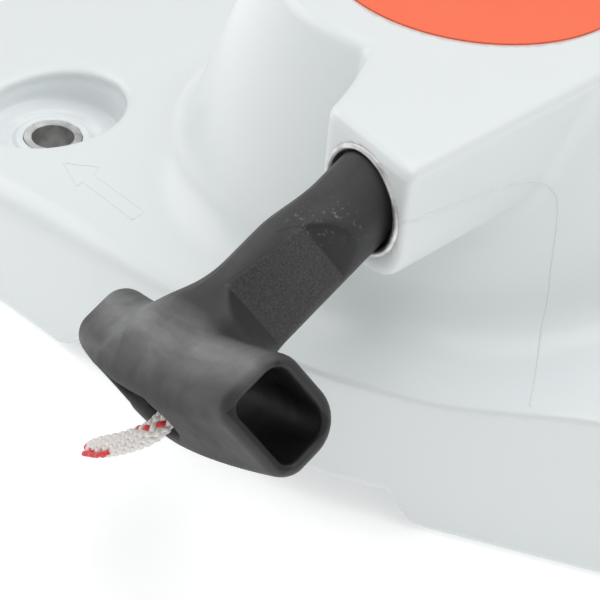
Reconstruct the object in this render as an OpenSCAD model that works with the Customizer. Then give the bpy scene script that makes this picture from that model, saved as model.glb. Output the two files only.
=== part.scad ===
// Recoil starter of a small two-stroke engine. Millimetres.
// Origin: rotor axis on the mounting plane of the rim. +Z points away from the engine,
// the rope leaves towards -Y.

/* [Hub and dome] */
// Height of the flat hub top above the mounting plane
hub_top = 57.2; // [54:0.1:62]
// Radius of the hub at its top edge
hub_r = 30.6; // [29.5:0.1:34]
// Radius of the dome wall where it bends outwards
shoulder_r = 37; // [35:0.1:40]
// Radius of the dome wall at its foot
foot_r = 41.5; // [40:0.1:44]
// Radius of the cove between dome and plate
cove_r = 4; // [2:0.1:5]
// Housing wall thickness
wall = 2.4; // [1.8:0.1:3]
// Radius of the rounded hub edge
hub_edge_r = 1.2; // [0.5:0.1:2]

/* [Crowned plate] */
// Radius of the crown of the plate
crown_r = 420; // [350:5:600]
// Highest level of the plate
crown_top = 24.8; // [22:0.1:26]
// Place of the crown's highest point across the rope
crown_x = 0; // [-10:0.5:10]
// Depth of the relief in the front rim
relief_h = 5; // [2:0.1:8]

/* [Plate corners: x, y, radius] */
// Front left corner
corner_a = [-72, -47.5, 25]; // [-80:0.5:80]
// Front edge
corner_b = [-16, -36, 25]; // [-80:0.5:80]
// Front right bow
corner_c = [8, -8, 46.5]; // [-80:0.5:80]
// Right lug
corner_d = [60, -8, 14]; // [-80:0.5:80]
// Back right corner
corner_e = [50, 42, 24]; // [-80:0.5:80]
// Back left corner
corner_f = [-66, 44, 26]; // [-80:0.5:80]

/* [Mounting screws] */
// Bolt circle of the first pair of holes
circle_a = 129; // [120:0.5:134]
// Direction of the first pair
angle_a = 222.6; // [215:0.1:228]
// Middle of the second pair of holes
pair_b = [0.5, 24]; // [-5:0.5:30]
// Bolt circle of the second pair of holes
circle_b = 121; // [118:0.5:124]
// Direction of the second pair
angle_b = 158.7; // [155:0.1:162]
// Screw clearance bore of the steel sleeves
sleeve_id = 7; // [6.4:0.1:7.4]
// Outer diameter of the sleeves
sleeve_od = 9.4; // [8.8:0.1:10]
// Length of the sleeves
sleeve_len = 13.6; // [12:0.1:14]
// Diameter of the sunk screw seat
seat_d = 22.6; // [20:0.1:23]

/* [Rope outlet] */
// Distance of the rope outlet from the rotor axis, across the rope
outlet_x = 29.3; // [28:0.1:32]
// Distance of the outlet face from the rotor axis, along the rope
outlet_y = 42.2; // [41:0.1:46]
// Depth of the outlet axis below the hub top
outlet_drop = 9.2; // [9:0.1:11]
// Width of the outlet block
outlet_w = 17.6; // [17:0.1:20]
// Outer diameter of the steel bushing
bushing_d = 14.2; // [13.6:0.1:14.4]
// Length of the steel bushing
bushing_len = 4.6; // [4:0.1:6]

/* [Badge] */
// Diameter of the hub badge
badge_d = 45; // [36:0.5:50]
// Thickness of the hub badge
badge_t = 1; // [0.8:0.05:1.2]

/* [Rope and rotor] */
// Diameter of the starter rope
rope_d = 3; // [2.8:0.05:3.1]
// Rope turns on the drum
rope_turns = 5; // [3:1:5]
// Clear space between neighbouring rope turns
rope_gap = 0.45; // [0.42:0.01:0.5]
// Diameter of the rope drum
drum_d = 18; // [17:0.1:19]
// Diameter of the axle
axle_d = 9; // [8:0.1:9.4]
// Running clearance on radius
running = 0.05; // [0.03:0.01:0.08]
// Thickness of the rotor flanges
flange_t = 1.1; // [1:0.05:1.4]

/* [Rewind spring] */
// Width of the spring strip
strip_w = 4; // [3.4:0.1:4.4]
// Thickness of the spring strip
strip_t = 0.5; // [0.4:0.05:0.6]
// Turns of the rewind spring
strip_turns = 9; // [6:1:10]
// Outer diameter of the spring case
case_d = 53; // [50:0.1:53.4]

/* [Pawls] */
// Distance of the pawl pins from the axis
pawl_r = 19; // [18.4:0.1:20]
// Diameter of the pawl pins
pin_d = 4; // [3.4:0.1:4.2]
// Thickness of the pawls
pawl_t = 3.6; // [3:0.1:4]
// Reach of a pawl from its pin to its tip
pawl_reach = 12; // [11:0.1:12.6]
// Swing of the pawls, in degrees
pawl_swing = 28; // [20:1:30]

/* [Pull handle] */
// Length of the handle's cross bar
bar_len = 51; // [46:0.1:56]
// Depth of the bar's ends, along the pull
bar_depth = 10.8; // [10:0.1:12]
// Height of the bar's ends
bar_height = 13.6; // [12:0.1:14]
// Outward bow of the bar's palm face
palm_bow = 2.7; // [2:0.1:3.2]
// Wall of the hollow bar
bar_wall = 1.7; // [1.4:0.1:1.9]
// Diameter of the handle's stem
stem_d = 11.5; // [11.2:0.1:11.9]
// Distance from the plug's centre to the bar's centre
stem_reach = 29.3; // [28:0.1:34]
// Sideways turn of the resting handle
handle_yaw = 7.1; // [0:0.1:9]
// Droop of the resting handle
handle_droop = 28.6; // [20:0.1:30.5]
// Roll of the handle about its stem
handle_roll = 31.5; // [0:0.5:45]

// Node to draw, or all

/* [Hidden] */
$fn = 72;

// Clearance between two pieces that sit still together
seat_gap = 0.05;
// Axial clearance between pieces that turn on each other
face_gap = 0.4;

// Levels from the hub down to the engine side
ceiling = hub_top - wall - 0.2;
shoulder_drop = 13.2;
shoulder_z = hub_top - shoulder_drop;
case_top = ceiling - seat_gap;
case_t = 1;
case_bottom = case_top - case_t - strip_w - 2 * 0.2;
cover_t = 0.8;
cover_bottom = case_bottom - cover_t;
head_h = 1.4;
rotor_top = cover_bottom - head_h - face_gap;
groove_w = rope_d + 0.5;
groove_z = rotor_top - flange_t - groove_w / 2;
flange_low = groove_z - groove_w / 2 - flange_t;
pawl_top = flange_low - 0.3;
pawl_bottom = pawl_top - pawl_t;
rotor_low = pawl_bottom - 0.9;
plate_t = 0.8;
plate_top = rotor_low - 0.2;
washer_t = 1;
axle_low = plate_top - plate_t - 0.2;
washer_low = axle_low - washer_t;
screw_head_h = 3;

// Dome radii: the dome grows with a spring case that needs more room
case_room = 4;
dome_grow = max(0, case_d / 2 + case_room - hub_r);
hub_out = hub_r + dome_grow;
shoulder_out = shoulder_r + dome_grow;
foot_out = foot_r + dome_grow;
foot_z = crown_top - pow(foot_out + cove_r, 2) / (2 * crown_r);

// Inward lean of the skirt, per unit of height, and the plate's mean half width
skirt_lean = 0.15;
skirt_mid = 75;

// Axle, arbor and spring
axle_r = axle_d / 2;
spigot_over = 0.5;
spigot_h = 1.2;
washer_over = 3;
centre_d = 4.1;
centre_len = 10.4;
centre_head_d = 8.8;
centre_key = 2.3;
axle_flange_r = axle_r + 4.1;
axle_flange_t = 1.7;
arbor_r = axle_r + 3.1;
arbor_top = ceiling - axle_flange_t - 0.3;
strip_in = arbor_r + 0.9;
strip_out = case_d / 2 - case_t - strip_t - 0.4;
strip_low = case_bottom + 0.2;

// Pawls with the peg that rides in the friction plate's slot, and the plate's arms
pawl_wall = 1.3;
tip_in = 2.2;
back_in = 4.6;
nose_out = 0.4;
toe = 1.8;
peg_in = 1.6;
peg_out = 7;
peg_r = 1.1;
arm_in = 4;
arm_out = 7;
arm_edge = 3;

// Cover screws
pillar_n = 3;
pillar_turn = 30;
pillar_d = 5.2;
pillar_r = case_d / 2 + pillar_d / 2 + 0.3;
screw_d = 2.4;
head_d = 4.2;

// Rope on the drum
rope_r = rope_d / 2;
rope_pitch = rope_d + rope_gap;
rope_in = drum_d / 2 + rope_r + 0.1;
rope_out = rope_in + rope_pitch * rope_turns;
rotor_r = rope_out + rope_r + 0.6;
lead_angle = 6;

// Ends of the relief in the front rim
relief_left = -9.5;
relief_right = 40;

// Rope outlet
outlet_z = hub_top - outlet_drop;
outlet = [outlet_x, -outlet_y, outlet_z];
bushing_r = bushing_d / 2;
bushing_bore = bushing_r - 0.6;
flare_len = 3.2;
flare_r = 1.05;
outlet_low = 9.8;
outlet_round = 6.5;
scoop_r = 60;
scoop_turn = -69;
plug_room = 7.6;
bushing_lip = bushing_r + 0.6;
lip_t = 0.9;
lip_sunk = 0.5;
tunnel_r = 4.6;
tunnel_side = -1.6;
tunnel_up = 0.5;

// Handle: unit vector of the pull and place of the plug's centre
pull = [sin(handle_yaw) * cos(handle_droop),
    -cos(handle_yaw) * cos(handle_droop), -sin(handle_droop)];
plug_out = 1.5;
plug = outlet + pull * plug_out;
stem_r = stem_d / 2;
plug_in = 5.5;
plug_round = 1.2;
stem_rise = 1.25;
rise_from = 1;
rise_to = 9;
stem_flat = stem_r - 1.6;
flat_from = 7.4;
flat_bend = 12;
flat_to = 19.5;
flat_fall = 1.1;
flat_ramp = 3.5;
bar_shift = 1.7;
bar_waist = 0.95;
rope_hole_r = rope_r + 0.35;
bar_round = 3;
slot_len = 17;
slot_w = 5;
slot_x = -3;
knot_r = 2.8;

CORNERS = [corner_a, corner_b, corner_c, corner_d, corner_e, corner_f];
SCREWS = [for (a = [0, 180])
    each [hole_at(circle_a, angle_a + a), pair_b + hole_at(circle_b, angle_b + a)]];

function hole_at(circle, angle) = [circle / 2 * cos(angle), circle / 2 * sin(angle)];

// Direction of the outward normal of the straight edge from corner a to corner b
function edge_normal(a, b) = let(d = [b.x - a.x, b.y - a.y])
    atan2(d.y, d.x) - acos((a.z - b.z) / norm(d));

// Point of an arc about a centre
function arc_point(c, r, angle) = c + r * [cos(angle), sin(angle)];

// Point where a line from p touches a circle of radius r about the origin
function tangent_point(p, r) = arc_point([0, 0], r, atan2(p.y, p.x) + acos(r / norm(p)));

// Smooth course through a list of points
function smooth(p, i, t) = let(
        a = p[max(i - 1, 0)], b = p[i], c = p[i + 1], d = p[min(i + 2, len(p) - 1)])
    0.5 * (2 * b + (c - a) * t + (2 * a - 5 * b + 4 * c - d) * t * t
        + (3 * b - a - 3 * c + d) * t * t * t);
function course(p, steps) = [for (i = [0 : len(p) - 2])
    for (k = [0 : steps - 1]) smooth(p, i, k / steps), p[len(p) - 1]];

// Least clear distance between turns of a wound course that are at least skip points apart
function least_gap(p, skip, d) = min([for (i = [0 : len(p) - 1 - skip])
    for (j = [i + skip : len(p) - 1]) norm(p[i] - p[j])]) - d;

// Rope course on the drum, from the outlet side to the anchor
function spiral_r(angle) = rope_out - rope_pitch * (angle - lead_angle) / 360;
WOUND = [[rope_out * cos(lead_angle), 0, groove_z],
    for (a = [lead_angle : 15 : lead_angle + 360 * rope_turns])
        [spiral_r(a) * cos(a), spiral_r(a) * sin(a), groove_z]];
anchor = WOUND[len(WOUND) - 1];
anchor_z = flange_low - 2.6;

// Rope course from the drum through the bushing to the plug
plug_tip = plug - pull * (plug_in + 0.3);
LEAD = course([
    WOUND[0] + [0, -0.05, 0],
    WOUND[0] + [0, -6, 0],
    WOUND[0] + [0.1, -12, 0.1],
    [outlet_x - 1.1, -outlet_y + 20, groove_z + 2.7],
    [outlet_x - 0.9, -outlet_y + 11, outlet_z + 1.6],
    plug_tip - pull * 3 + [0, 0.4, -0.5],
    plug_tip], 6);

// Rope course inside the handle and out of its slot, in the handle's own axes
TAIL = course([
    [0, plug_in + 0.1, 0],
    [0, -8, 0],
    [0, -18, 0],
    [0, -stem_reach + 3, 0],
    [1.1, -stem_reach - 1.2, 0],
    [2.2, -stem_reach - 5, 0],
    [1.8, -stem_reach - 8.6, 0.1],
    [-1.2, -stem_reach - 11.1, 0.2],
    [-4.6, -stem_reach - 13.1, 0.2],
    [-8.3, -stem_reach - 15, 0]], 5);
knot_at = [0.6, -stem_reach - 0.6, 0];

echo(rope_winding_gap = least_gap(WOUND, 20, rope_d));
echo(rope_on_drum_mm = course_length(WOUND));
echo(rope_lead_mm = course_length(LEAD));
echo(rope_tail_mm = course_length(TAIL));
echo(pull = pull, plug = plug);
echo(levels = [ceiling, cover_bottom, rotor_top, groove_z, flange_low, pawl_bottom, washer_low]);
echo(rotor_r = rotor_r, rope_out = rope_out, mean_r = (rope_in + rope_out) / 2);

function course_length(p) = len(p) < 2 ? 0 :
    [for (i = 1, s = norm(p[1] - p[0]); i < len(p);
        i = i + 1, s = i < len(p) ? s + norm(p[i] - p[i - 1]) : s) s][len(p) - 2];

// Tube of the given radius along a course
function unit(v) = v / norm(v);
function heading(p, i) = unit(p[min(i + 1, len(p) - 1)] - p[max(i - 1, 0)]);
function side_of(h, up) = unit(cross(h, up));
module tube(p, r, sides, up) {
    rings = [for (i = [0 : len(p) - 1]) let(
            h = heading(p, i), s = side_of(h, up), n = cross(s, h))
        for (k = [0 : sides - 1])
            p[i] + r * (cos(360 * (k + 0.5) / sides) * s + sin(360 * (k + 0.5) / sides) * n)];
    walls = [for (i = [0 : len(p) - 2]) for (k = [0 : sides - 1]) let(
            a = i * sides + k, b = i * sides + (k + 1) % sides)
        each [[a, b, b + sides], [a, b + sides, a + sides]]];
    last = (len(p) - 1) * sides;
    polyhedron(rings, concat(
        [[for (k = [sides - 1 : -1 : 0]) k]], walls,
        [[for (k = [0 : sides - 1]) last + k]]), convexity = 10);
}

// Plate outline, set in by a distance: round corners joined by straight edges
module outline(inset) {
    n = len(CORNERS);
    polygon([for (i = [0 : n - 1]) let(
            c = CORNERS[i],
            from = edge_normal(CORNERS[(i + n - 1) % n], c),
            turn = (edge_normal(c, CORNERS[(i + 1) % n]) - from + 720) % 360,
            steps = ceil(turn / 6))
        for (k = [0 : steps]) arc_point([c.x, c.y], c.z - inset, from + turn * k / steps)]);
}

// Crowned block under the plate, set in by a distance
module crowned(inset) {
    intersection() {
        translate([0, 0, -2 * min(inset, 1)])
            linear_extrude(hub_top, scale = 1 - skirt_lean * hub_top / skirt_mid) outline(inset);
        translate([crown_x, 0, crown_top - crown_r]) sphere(crown_r - inset, $fn = 360);
    }
}

// Dome wall and hub, without the cove, set in by a distance
module dome_core(inset) {
    rotate_extrude($fn = 180)
        polygon([[0, foot_z], [foot_out - inset, foot_z],
            [foot_out - inset, foot_z + cove_r], [shoulder_out - inset, shoulder_z],
            [hub_out - inset, hub_top - inset], [0, hub_top - inset]]);
}

// Dome with its hub and the cove at its foot
module dome_outside() {
    cove = [for (a = [270 : -15 : 180])
        arc_point([foot_out + cove_r, foot_z + cove_r], cove_r, a)];
    edge = [for (a = [0 : 15 : 90])
        arc_point([hub_out - hub_edge_r, hub_top - hub_edge_r], hub_edge_r, a)];
    rotate_extrude($fn = 180)
        polygon(concat([[0, foot_z - 6], [foot_out + cove_r, foot_z - 6]], cove,
            [[shoulder_out, shoulder_z]], edge, [[0, hub_top]]));
}

module dome_inside() {
    rotate_extrude($fn = 180)
        polygon([[0, -1], [foot_out - wall, -1], [foot_out - wall, foot_z + cove_r],
            [shoulder_out - wall, shoulder_z], [hub_out - wall, ceiling], [0, ceiling]]);
}

// Rope outlet block: its side runs tangent to the hub, its underside is round
module outlet_block() {
    left = [outlet_x - outlet_w / 2, -outlet_y];
    right = [outlet_x + outlet_w / 2, -outlet_y];
    hit = arc_point([0, 0], hub_out, scoop_turn);
    half = (left - hit) / 2;
    scoop = hit + half + sqrt(pow(scoop_r, 2) - half * half) * [half.y, -half.x] / norm(half);
    intersection() {
        linear_extrude(hub_top) difference() {
            polygon([left, right, tangent_point(right, hub_out), [0, 0], hit - [4, 0]]);
            translate(scoop) circle(scoop_r, $fn = 180);
        }
        rotate([90, 0, 0]) linear_extrude(outlet_y) outlet_section();
    }
}

// Section of the outlet block: flat top, round lower corners
module outlet_section() {
    low = outlet_z - outlet_low;
    for (side = [-1, 1]) {
        translate([outlet_x + side * (outlet_w / 2 - outlet_round), low + outlet_round])
            circle(outlet_round);
    }
    translate([outlet_x - outlet_w / 2 + outlet_round, low])
        square([outlet_w - 2 * outlet_round, outlet_round]);
    translate([0, low + outlet_round])
        square([outlet_x + outlet_w / 2, hub_top - low - outlet_round]);
}

// Cylinder lying along the outlet axis, from y = -from to y = -to
module along_outlet(r, from, to) {
    translate([outlet_x, -from, outlet_z]) rotate([-90, 0, 0]) cylinder(from - to, r = r);
}

module at_pillars() {
    for (i = [0 : pillar_n - 1]) {
        rotate(pillar_turn + 360 * i / pillar_n) translate([pillar_r, 0, 0]) children();
    }
}

module housing() {
    boss_r = sleeve_od / 2 + 2.5;
    seat_r = seat_d / 2;
    color([0.89, 0.91, 0.91]) difference() {
        union() {
            difference() {
                union() {
                    crowned(0);
                    dome_outside();
                    outlet_block();
                }
                crowned(wall);
                dome_inside();
            }
            for (s = SCREWS) {
                translate(s) cylinder(sleeve_len, r = boss_r);
            }
            intersection() {
                crowned(wall / 2);
                for (s = SCREWS) {
                    translate([s.x, s.y, sleeve_len - wall]) cylinder(hub_top, r = seat_r + wall);
                }
            }
            intersection() {
                dome_core(wall / 2);
                at_pillars() translate([0, 0, case_bottom])
                    cylinder(ceiling - case_bottom + 0.5, d = pillar_d);
            }
        }
        for (s = SCREWS) {
            translate([s.x, s.y, -1]) cylinder(sleeve_len + 2, r = sleeve_od / 2 + seat_gap);
            translate([s.x, s.y, sleeve_len]) cylinder(hub_top, r = seat_r);
        }
        translate([tunnel_side, 0, tunnel_up]) along_outlet(tunnel_r, outlet_y - 1, 13);
        along_outlet(bushing_r + seat_gap, outlet_y + 1, outlet_y - bushing_len - 0.2);
        along_outlet(bushing_bore, outlet_y, outlet_y - plug_room);
        along_outlet(bushing_lip + 0.15, outlet_y + 1, outlet_y - lip_sunk);
        translate([0, 0, hub_top - badge_t + 0.2]) cylinder(5, d = badge_d + 0.2, $fn = 144);
        translate([0, 0, ceiling - 2 * spigot_over])
            cylinder(spigot_h + 2 * spigot_over + 0.1, r = axle_r + spigot_over + seat_gap);
        at_pillars() translate([0, 0, case_bottom - 1]) cylinder(7, r = screw_d / 2 + seat_gap);
        rim_relief();
        vents();
    }
}

// Low step cut out of the front rim, with sloped ends
module rim_relief() {
    translate([0, -30, 0]) rotate([90, 0, 0]) linear_extrude(60)
        polygon([[relief_left - 6, -1], [relief_left, relief_h],
            [relief_right, relief_h], [relief_right + 5, -1]]);
}

// Air slots in the plate behind the dome
module vents() {
    inner = foot_out + cove_r + 2;
    for (a = [64 : 12 : 148]) {
        rotate(a) translate([inner, -1.6, 2]) cube([10, 3.2, 30]);
    }
}

module centre_badge() {
    color([0.95, 0.36, 0.22]) translate([0, 0, hub_top - badge_t + 0.2])
        cylinder(badge_t, d = badge_d, $fn = 144);
}

// Flared steel eyelet, drawn about +Z with its mouth at the top
module rope_bushing() {
    front = lip_t - lip_sunk;
    mouth = [for (a = [180 : -15 : 90])
        [bushing_bore + flare_r + flare_r * cos(a), front - flare_len + flare_len * sin(a)]];
    color([0.78, 0.79, 0.8]) translate(outlet) rotate([90, 0, 0])
        rotate_extrude($fn = 120)
            polygon(concat([[bushing_bore, -bushing_len]], mouth,
                [[bushing_lip, front], [bushing_lip, -lip_sunk],
                [bushing_r, -lip_sunk], [bushing_r, -bushing_len]]));
}

module screw_sleeves() {
    color([0.75, 0.76, 0.77]) for (s = SCREWS) {
        translate(s) difference() {
            cylinder(sleeve_len, d = sleeve_od);
            translate([0, 0, -1]) cylinder(sleeve_len + 2, d = sleeve_id);
        }
    }
}

module axle_post() {
    color([0.7, 0.71, 0.72]) difference() {
        union() {
            translate([0, 0, axle_low]) cylinder(ceiling - axle_low, r = axle_r);
            translate([0, 0, ceiling - axle_flange_t])
                cylinder(axle_flange_t - seat_gap, r = axle_flange_r);
            translate([0, 0, ceiling - spigot_over])
                cylinder(spigot_h + spigot_over, r = axle_r + spigot_over);
        }
        translate([0, 0, axle_low - washer_t])
            cylinder(centre_len + 2 * washer_t + spigot_over, d = centre_d + 2 * seat_gap);
    }
}

module spring_case() {
    r = case_d / 2;
    color([0.25, 0.26, 0.27]) translate([0, 0, case_bottom]) difference() {
        cylinder(case_top - case_bottom, r = r, $fn = 120);
        translate([0, 0, -1]) cylinder(case_top - case_bottom - case_t + 1, r = r - case_t, $fn = 120);
        cylinder(20, r = axle_flange_r + 0.3);
    }
}

module spring_cover() {
    color([0.72, 0.73, 0.72]) translate([0, 0, cover_bottom]) difference() {
        union() {
            cylinder(cover_t - seat_gap, r = case_d / 2, $fn = 120);
            at_pillars() {
                cylinder(cover_t - seat_gap, d = pillar_d);
                translate([-pillar_d, -pillar_d / 2, 0]) cube([pillar_d, pillar_d, cover_t - seat_gap]);
            }
        }
        translate([0, 0, -1]) cylinder(5, r = arbor_r + 0.6);
        at_pillars() translate([0, 0, -1]) cylinder(5, r = screw_d / 2 + 0.15);
    }
}

module cover_screws() {
    color([0.62, 0.63, 0.64]) at_pillars() {
        difference() {
            translate([0, 0, cover_bottom - head_h - seat_gap]) cylinder(head_h, d = head_d);
            translate([0, 0, cover_bottom - head_h - 1]) cylinder(1.8, r = 1, $fn = 6);
        }
        translate([0, 0, cover_bottom - head_h + 0.7]) cylinder(7, d = screw_d);
    }
}

// Flat spiral strip; its inner end is bent in to catch the rotor's arbor
module rewind_spring() {
    step = 12;
    total = 360 * strip_turns;
    grow = (strip_out - strip_in) / total;
    inner = [for (a = [0 : step : total]) (strip_in + grow * a) * [cos(a), sin(a)]];
    outer = [for (a = [total : -step : 0]) (strip_in + strip_t + grow * a) * [cos(a), sin(a)]];
    hook_out = arc_point([0, 0], arbor_r + 0.25, -10);
    hook_in = arc_point([0, 0], arbor_r - 1.2, -14);
    color([0.45, 0.47, 0.5]) translate([0, 0, strip_low]) linear_extrude(strip_w)
        polygon(concat([hook_in, hook_out], inner, outer,
            [hook_out + [strip_t, -strip_t], hook_in + [0.1, -strip_t]]));
}

module rope_rotor() {
    color([0.2, 0.21, 0.22]) difference() {
        union() {
            translate([0, 0, rotor_low]) cylinder(arbor_top - rotor_low, r = arbor_r);
            translate([0, 0, rotor_low]) cylinder(groove_z - rotor_low, r = drum_d / 2);
            translate([0, 0, flange_low]) cylinder(rotor_top - flange_low, d = drum_d);
            for (z = [flange_low, rotor_top - flange_t]) {
                translate([0, 0, z]) cylinder(flange_t, r = rotor_r, $fn = 144);
            }
            for (a = [0, 180]) {
                rotate(a) translate([pawl_r, 0, flange_low - 0.2])
                    cylinder(groove_z - groove_w / 2 - flange_low + 0.2, d = pin_d + 3);
            }
        }
        translate([0, 0, rotor_low - 1]) cylinder(60, r = axle_r + running);
        // Hole for the rope's inner end and pocket for its knot
        translate([anchor.x, anchor.y, rotor_low - 1])
            cylinder(groove_z - rotor_low + 1, r = rope_r + 0.3);
        translate([anchor.x, anchor.y, rotor_low - 1])
            cylinder(flange_low - rotor_low + 1, r = rope_r + 1.6);
        // Notch that the spring's inner end catches
        rotate(-12) translate([arbor_r - 2.2, -1.8, strip_low - 0.3]) cube([5, 2.6, strip_w + 5]);
        for (a = [0, 180]) {
            rotate(a) translate([pawl_r, 0, flange_low - 1])
                cylinder(flange_t + 0.6, r = pin_d / 2 + seat_gap);
        }
    }
}

module rope_winding() {
    color([0.9, 0.88, 0.86]) tube(WOUND, rope_r, 6, [0, 0, 1]);
}

// Short drop of the rope through the flange to its stopper knot
module rope_anchor() {
    color([0.9, 0.88, 0.86]) translate([anchor.x, anchor.y, 0]) {
        translate([0, 0, anchor_z]) cylinder(groove_z - anchor_z, r = rope_r);
        translate([0, 0, anchor_z]) sphere(rope_r + 1.1);
    }
}

module pawl_pins() {
    color([0.75, 0.76, 0.77]) for (a = [0, 180]) {
        rotate(a) translate([pawl_r, 0, plate_top + 0.1])
            cylinder(flange_low - 0.6 + flange_t - plate_top, r = pin_d / 2);
    }
}

// Pawl folded against the rotor; it swings out about its pin
module pawl() {
    eye = pin_d / 2 + pawl_wall;
    tip = [pawl_r - tip_in, -pawl_reach];
    difference() {
        translate([0, 0, pawl_bottom]) linear_extrude(pawl_t) {
            translate([pawl_r, 0]) circle(eye);
            polygon([[pawl_r - eye, 0], [pawl_r - back_in, -pawl_reach + toe], tip,
                [pawl_r + nose_out, -pawl_reach + toe], [pawl_r + eye, 0]]);
        }
        translate([pawl_r, 0, pawl_bottom - 1]) cylinder(pawl_t + 2, r = pin_d / 2 + running);
    }
    translate([pawl_r - peg_in, -peg_out, plate_top - plate_t])
        cylinder(pawl_bottom - plate_top + plate_t + 0.5, r = peg_r);
}
module pawl_a() {
    color([0.55, 0.56, 0.58]) pawl();
}

module pawl_b() {
    color([0.55, 0.56, 0.58]) rotate(180) pawl();
}

// Plate that swings the pawls by friction; its slots follow the pawl pegs
module friction_plate() {
    peg = norm([peg_in, peg_out]);
    start = atan2(-peg_out, -peg_in);
    color([0.8, 0.78, 0.7]) translate([0, 0, plate_top - plate_t]) difference() {
        union() {
            cylinder(plate_t, r = arbor_r + washer_over);
            for (a = [0, 180]) {
                rotate(a) translate([arm_in, -pawl_reach - arm_edge, 0])
                    cube([pawl_r + arm_out - arm_in, pawl_reach + arm_edge / 2, plate_t]);
            }
        }
        translate([0, 0, -1]) cylinder(5, r = axle_r + 0.1);
        for (a = [0, 180]) {
            rotate(a) translate([pawl_r, 0, -1]) rotate(start - 10)
                rotate_extrude(angle = pawl_swing + 20)
                    translate([peg - peg_r - 0.35, 0]) square([2 * peg_r + 0.7, 5]);
        }
    }
}

module retaining_washer() {
    color([0.75, 0.76, 0.77]) translate([0, 0, washer_low]) difference() {
        cylinder(washer_t - seat_gap, r = axle_r + washer_over);
        translate([0, 0, -1]) cylinder(5, d = centre_d + 0.3);
    }
}

module centre_screw() {
    color([0.6, 0.61, 0.62]) difference() {
        union() {
            translate([0, 0, washer_low - screw_head_h - seat_gap])
                cylinder(screw_head_h, d = centre_head_d);
            translate([0, 0, washer_low - spigot_over]) cylinder(centre_len + spigot_over, d = centre_d);
        }
        translate([0, 0, washer_low - screw_head_h - 1]) cylinder(screw_head_h, r = centre_key, $fn = 6);
    }
}

module rope_lead() {
    color([0.9, 0.88, 0.86]) tube(LEAD, rope_r, 8, [1, 0, 0]);
}

// Places children drawn about the plug's centre, stem along -Y, in the resting handle's pose
module in_handle() {
    translate(plug) rotate([0, 0, handle_yaw]) rotate([handle_droop, 0, 0])
        rotate([0, -handle_roll, 0]) children();
}

// Half of the bar from its waist to one end, thinner by a wall
module half_bar(side, less, over) {
    r = max(bar_round - less, 0.6);
    waist = [bar_depth / 2 - bar_waist - less - r, bar_depth / 2 + palm_bow - less - r,
        bar_height / 2 - less - r];
    tip = [bar_depth / 2 - less - r, bar_depth / 2 - less - r, bar_height / 2 - less - r];
    hull() {
        for (y = [waist[0], -waist[1]], z = [waist[2], -waist[2]]) {
            translate([0, y, z]) rotate([0, 90, 0]) cylinder(0.1, r = r, $fn = 24, center = true);
        }
        for (y = [tip[0], -tip[1]], z = [tip[2], -tip[2]]) {
            translate([side * (bar_len / 2 + over), y, z]) rotate([0, 90, 0])
                cylinder(0.1, r = r, $fn = 24, center = true);
        }
    }
}

// Round stem with its plug end in the bushing
module stem() {
    edge = [for (a = [-90 : 15 : 0])
        arc_point([stem_r - plug_round, plug_round - plug_in], plug_round, a)];
    rotate([90, 0, 0]) rotate_extrude()
        polygon(concat([[0, -plug_in]], edge, [[stem_r, stem_reach], [0, stem_reach]]));
}

module pull_handle() {
    color([0.16, 0.16, 0.17]) in_handle() difference() {
        union() {
            difference() {
                union() {
                    stem();
                    stem_crest();
                }
                for (s = [-1, 1]) {
                    side_flat(s);
                }
            }
            translate([bar_shift, -stem_reach, 0]) {
                half_bar(-1, 0, 0);
                half_bar(1, 0, 0);
            }
        }
        translate([bar_shift, -stem_reach, 0]) {
            half_bar(-1, bar_wall, 1);
            half_bar(1, bar_wall, 1);
        }
        translate([0, 10, 0]) rotate([90, 0, 0]) cylinder(stem_reach + 10, r = rope_hole_r);
        for (x = [slot_x - slot_len / 2 + slot_w / 2, slot_x + slot_len / 2 - slot_w / 2]) {
            translate([x, -stem_reach, 0]) rotate([90, 0, 0]) cylinder(20, d = slot_w);
        }
        translate([slot_x - slot_len / 2 + slot_w / 2, -stem_reach - 20, -slot_w / 2])
            cube([slot_len - slot_w, 20, slot_w]);
    }
}

// Upper side of the stem, which rises a little between the ring and the bar
module stem_crest() {
    hull() {
        translate([0, -rise_from, 0]) rotate([90, 0, 0]) cylinder(0.1, r = stem_r, $fn = 48);
        translate([0, -rise_to, stem_rise]) rotate([90, 0, 0])
            cylinder(stem_reach - rise_to, r = stem_r, $fn = 48);
        translate([0, -stem_reach, 0]) rotate([90, 0, 0]) cylinder(0.1, r = stem_r, $fn = 48);
    }
}

// Sunk flat on one side of the stem, with a ramp at each end
module side_flat(side) {
    cut = stem_r - stem_flat;
    top = stem_r + 0.5;
    translate([0, 0, -10]) linear_extrude(20)
        polygon([[side * stem_flat, -flat_from], [side * stem_flat, -flat_bend],
            [side * (stem_flat - flat_fall), -flat_to], [side * top, -flat_to - 4],
            [side * top, -flat_from + flat_ramp * (top - stem_flat) / cut]]);
}

module rope_tail() {
    color([0.9, 0.88, 0.86]) in_handle() tube(TAIL, rope_r, 8, [0, 0, 1]);
}

module rope_knot() {
    color([0.88, 0.86, 0.84]) in_handle() translate(knot_at) {
        sphere(knot_r, $fn = 36);
    }
}

housing();
centre_badge();
rope_bushing();
screw_sleeves();
axle_post();
spring_case();
spring_cover();
cover_screws();
rewind_spring();
rope_rotor();
rope_winding();
rope_anchor();
pawl_pins();
pawl_a();
pawl_b();
friction_plate();
retaining_washer();
centre_screw();
rope_lead();
pull_handle();
rope_tail();
rope_knot();
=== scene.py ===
"""Recoil starter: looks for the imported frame.

Fields, courses and profiles are in millimetres, meshes and the scene in metres.
"""

import math

import bpy
import numpy as np
from mathutils import Matrix, Vector


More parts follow.
